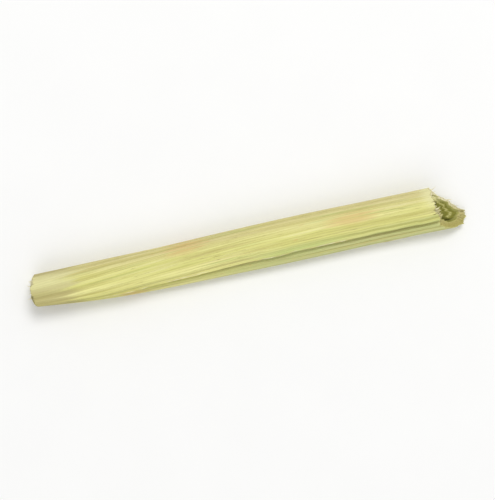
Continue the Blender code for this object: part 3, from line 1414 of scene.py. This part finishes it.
@dataclass(frozen=True)
class TornFibres:
    """Loose fibres that stand out of one cut end."""

    sheath: RolledSheath
    end: StalkEnd
    count: int
    seed: int
    crowded_at: float
    crowded_share: float
    crowded_spread: float = 0.05
    across_limits: Pair = (0.01, 0.99)
    depth_limits: Pair = (0.05, 0.9)
    longest: float = 0.0007
    shortest: float = 0.00012
    length_power: float = 2.5
    widest: float = 0.000065
    narrowest: float = 0.000016
    width_power: float = 2.0
    taper: float = 0.85
    taper_power: float = 1.5
    flatness: float = 0.4
    spread: float = 0.24
    bend_part: float = 0.9
    steps: int = 8
    sides: int = 6
    rooted: float = 0.0004

    def build(self, finish: FibreFinish) -> Piece:
        """Make and dress the fibres.

        Each starts inside the wall, leaves the cut along the stalk with a small random lean, and
        bends over evenly: the root, plus the lean times the way along it, plus the bend times its
        square.

        Args:
            finish: their colours.

        Returns:
            The finished piece.
        """
        rng = np.random.default_rng(self.seed)
        anywhere = rng.uniform(*self.across_limits, self.count)
        crowded = rng.normal(self.crowded_at, self.crowded_spread, self.count)
        across = np.where(rng.random(self.count) < self.crowded_share, crowded, anywhere)
        depth = rng.uniform(*self.depth_limits, self.count)
        along = np.full(self.count, self.end.along)
        root = self.sheath.surface(across, along, depth)
        part = rng.random(self.count) ** self.length_power
        length = self.shortest + (self.longest - self.shortest) * part
        lean = rng.normal(0.0, self.spread, (self.count, 3))
        lean[:, 0] = self.end.outwards
        bend = rng.normal(0.0, self.spread * self.bend_part, (self.count, 3))
        bend[:, 0] = 0.0
        way = np.linspace(0.0, 1.0, self.steps)
        run = way[None, :, None] * length[:, None, None]
        paths = root[:, None, :] + lean[:, None, :] * run
        paths += bend[:, None, :] * run * way[None, :, None]
        paths[:, 0, :] = root - np.array([self.end.outwards * self.rooted, 0.0, 0.0])
        low, high = (np.array(corner) for corner in CAD_BOX)
        paths[:, :, 1:] = np.clip(paths[:, :, 1:], low[1:] + self.widest, high[1:] - self.widest)
        part = rng.random(self.count) ** self.width_power
        wide = self.narrowest + (self.widest - self.narrowest) * part
        radii = wide[:, None] * (1.0 - self.taper * way[None, :] ** self.taper_power)
        name = f"{self.end.name.lower()}_end_fibres"
        piece = strands(name, paths, radii, self.sides, self.flatness)
        finish.graph().dress(piece, "straw_sheath")
        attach(piece, ROOT_BODY)
        return piece


@dataclass(frozen=True)
class SeamThreads:
    """Threads that have come half loose from the sheath's outer edge and from its ribs."""

    sheath: RolledSheath
    count: int = 9
    seed: int = 41
    starts: Pair = (0.05, 0.82)
    at_edge: float = 0.006
    away_every: int = 3
    away_limits: Pair = (0.05, 0.9)
    drift: float = 0.008
    longest: float = 0.0065
    shortest: float = 0.0020
    thick: float = 0.000026
    tip_part: float = 0.4
    flatness: float = 0.6
    lifted: float = 0.00012
    lift_parts: Pair = (0.4, 1.0)
    steps: int = 26
    sides: int = 6

    def build(self, finish: FibreFinish) -> Piece:
        """Make and dress the threads.

        Each follows the sheath's surface along the stalk, with a sideways drift by a parabola. Its
        middle stands off by half a sine wave, and both of its ends sink into the wall.

        Args:
            finish: their colours.

        Returns:
            The finished piece.
        """
        rng = np.random.default_rng(self.seed)
        start = rng.uniform(*self.starts, self.count)
        length = rng.uniform(self.shortest, self.longest, self.count) / self.sheath.form.length
        away = rng.uniform(*self.away_limits, self.count)
        across = np.where(np.arange(self.count) % self.away_every == 0, away, self.at_edge)
        way = np.linspace(0.0, 1.0, self.steps)
        along = start[:, None] + length[:, None] * way
        drift = rng.uniform(-self.drift, self.drift, self.count)
        place = across[:, None] + drift[:, None] * way * (1.0 - way) * 4.0
        rise = np.sin(math.pi * way)[None, :] * rng.uniform(*self.lift_parts, self.count)[:, None]
        wall = self.sheath.form.sheath_wall
        depth = (self.thick - self.lifted * rise) / wall
        paths = self.sheath.surface(np.maximum(place, 0.0).ravel(), along.ravel(), depth.ravel())
        paths[:, 2] = np.maximum(paths[:, 2], self.thick)
        swell = self.tip_part + (1.0 - self.tip_part) * np.sin(math.pi * way)
        radii = np.full((self.count, 1), self.thick) * swell[None, :]
        paths = paths.reshape(self.count, self.steps, 3)
        piece = strands("seam_threads", paths, radii, self.sides, self.flatness)
        finish.graph().dress(piece, "straw_sheath")
        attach(piece, ROOT_BODY)
        return piece


@dataclass(frozen=True)
class SoftLight:
    """A square soft light: its place and size in metres, and its power in watts."""

    name: str
    place: Triple
    size: float
    power: float

    def hang(self) -> None:
        """Hang the light in the scene, facing the origin."""
        data = bpy.data.lights.new(self.name, "AREA")
        data.size = self.size
        data.energy = self.power
        lamp = in_scene(self.name, data)
        lamp.location = self.place
        lamp.rotation_euler = lamp.location.normalized().to_track_quat("Z", "Y").to_euler()


@dataclass(frozen=True)
class Studio:
    """A plain pale floor, soft lights and a camera that looks straight down."""

    lights: tuple[SoftLight, ...] = (SoftLight("key", (0.12, 0.20, 0.45), 0.20, 1.10),
                                     SoftLight("fill", (-0.15, -0.35, 0.40), 0.40, 0.55))
    sky: float = 0.56
    roll: float = math.radians(-12.55)
    lens: float = 135.0
    sensor: float = 36.0
    clip: Pair = (0.005, 10.0)
    stalk_share: float = 0.88
    floor_half: float = 1.2
    floor_colour: Colour = linear(250, 250, 249)
    floor_roughness: float = 0.9
    floor_specular: float = 0.2
    grain_per_metre: Triple = (120.0, 120.0, 120.0)
    grain_detail: float = 3.0
    grain_darkest: float = 0.97

    def floor(self) -> Piece:
        """Lay the pale floor at Z 0, with a trace of paper grain in its colour.

        Returns:
            The floor.
        """
        corners = self.floor_half * np.array([(-1, -1, 0), (1, -1, 0), (1, 1, 0), (-1, 1, 0)])
        piece = mesh_object("pale_floor", corners, np.array([(0, 1, 2, 3)]))
        g = Graph("pale_card", self.floor_roughness, self.floor_specular)
        grain = g.object_noise(self.grain_per_metre, self.grain_detail)
        darkest = tuple(part * self.grain_darkest for part in self.floor_colour)
        g.link(g.mix(grain, darkest, self.floor_colour), g.shader.inputs["Base Color"])
        piece.data.materials.append(g.material)
        return piece

    def world(self) -> None:
        """Fill the shadows with an even pale sky."""
        world = bpy.data.worlds.new("pale_sky")
        world.use_nodes = True
        sky = world.node_tree.nodes["Background"]
        sky.inputs["Color"].default_value = (1.0, 1.0, 1.0, 1.0)
        sky.inputs["Strength"].default_value = self.sky
        bpy.context.scene.world = world

    def camera(self, low: list[float], high: list[float]) -> None:
        """Look straight down at the stalk, turned so that it rises to the right.

        Args:
            low: the stalk's lowest corner.
            high: its highest corner.
        """
        size_x, size_y = high[0] - low[0], high[1] - low[1]
        width = size_x * math.cos(self.roll) + size_y * abs(math.sin(self.roll))
        data = bpy.data.cameras.new("camera")
        data.lens = self.lens
        data.sensor_width = self.sensor
        data.clip_start, data.clip_end = self.clip
        camera = in_scene("camera", data)
        height = width / self.stalk_share * self.lens / self.sensor
        camera.location = ((low[0] + high[0]) / 2.0, (low[1] + high[1]) / 2.0, height)
        camera.rotation_euler = (0.0, 0.0, self.roll)
        bpy.context.scene.camera = camera

    def build(self, low: list[float], high: list[float]) -> None:
        """Set the floor, the lights, the sky, the camera and the plain view transform.

        Args:
            low: the stalk's lowest corner.
            high: its highest corner.
        """
        self.floor()
        for light in self.lights:
            light.hang()
        self.world()
        self.camera(low, high)
        bpy.context.scene.view_settings.view_transform = "Standard"


def centred_form() -> StalkForm:
    """The stalk's form, moved so that its solids' own grid falls on the frame's sheath.

    Returns:
        The form, with the shift in X and Y that the solids were given.
    """
    form = StalkForm()
    across, along, depth = np.meshgrid(*(np.linspace(0.0, 1.0, count) for count in SOLID_POINTS))
    outer, inner = form.wall_faces(across, form.sheath_wall)
    outer = outer + form.rib_valley(across)
    below = form.tuck(across) + outer + (inner - outer) * depth
    y, z = form.place(form.seam_angle(along) - across * form.roll, along, below)
    z = np.maximum(z, 0.0)
    x = form.between_cuts(across, along, y, z, form.sheath_cut_waves)
    low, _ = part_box("outer_sheath")
    return StalkForm(shift=(float(low[0] - x.min()), float(low[1] - y.min())))


def main() -> None:
    """Build the stalk's pieces and the studio, in order, and report each."""
    logging.basicConfig(level=logging.INFO, format="%(name)s: %(message)s")
    form = centred_form()
    log.info("form shifted by %s", form.shift)
    sheath = RolledSheath(form)
    pieces = [
        sheath.build(SheathFinish()),
        FoldedLeaf(form).build(LeafFinish()),
        TornFibres(sheath, StalkEnd.THICK, count=24, seed=31, crowded_at=0.27,
                   crowded_share=0.35).build(FibreFinish()),
        TornFibres(sheath, StalkEnd.THIN, count=14, seed=32, crowded_at=0.40,
                   crowded_share=0.2).build(FibreFinish()),
        SeamThreads(sheath).build(FibreFinish()),
    ]
    for piece in pieces:
        piece.data.calc_loop_triangles()
        log.info("%s: %d triangles", piece.name, len(piece.data.loop_triangles))
    low, high = CAD_BOX
    Studio().build(low, high)


if __name__ == "__main__":
    main()
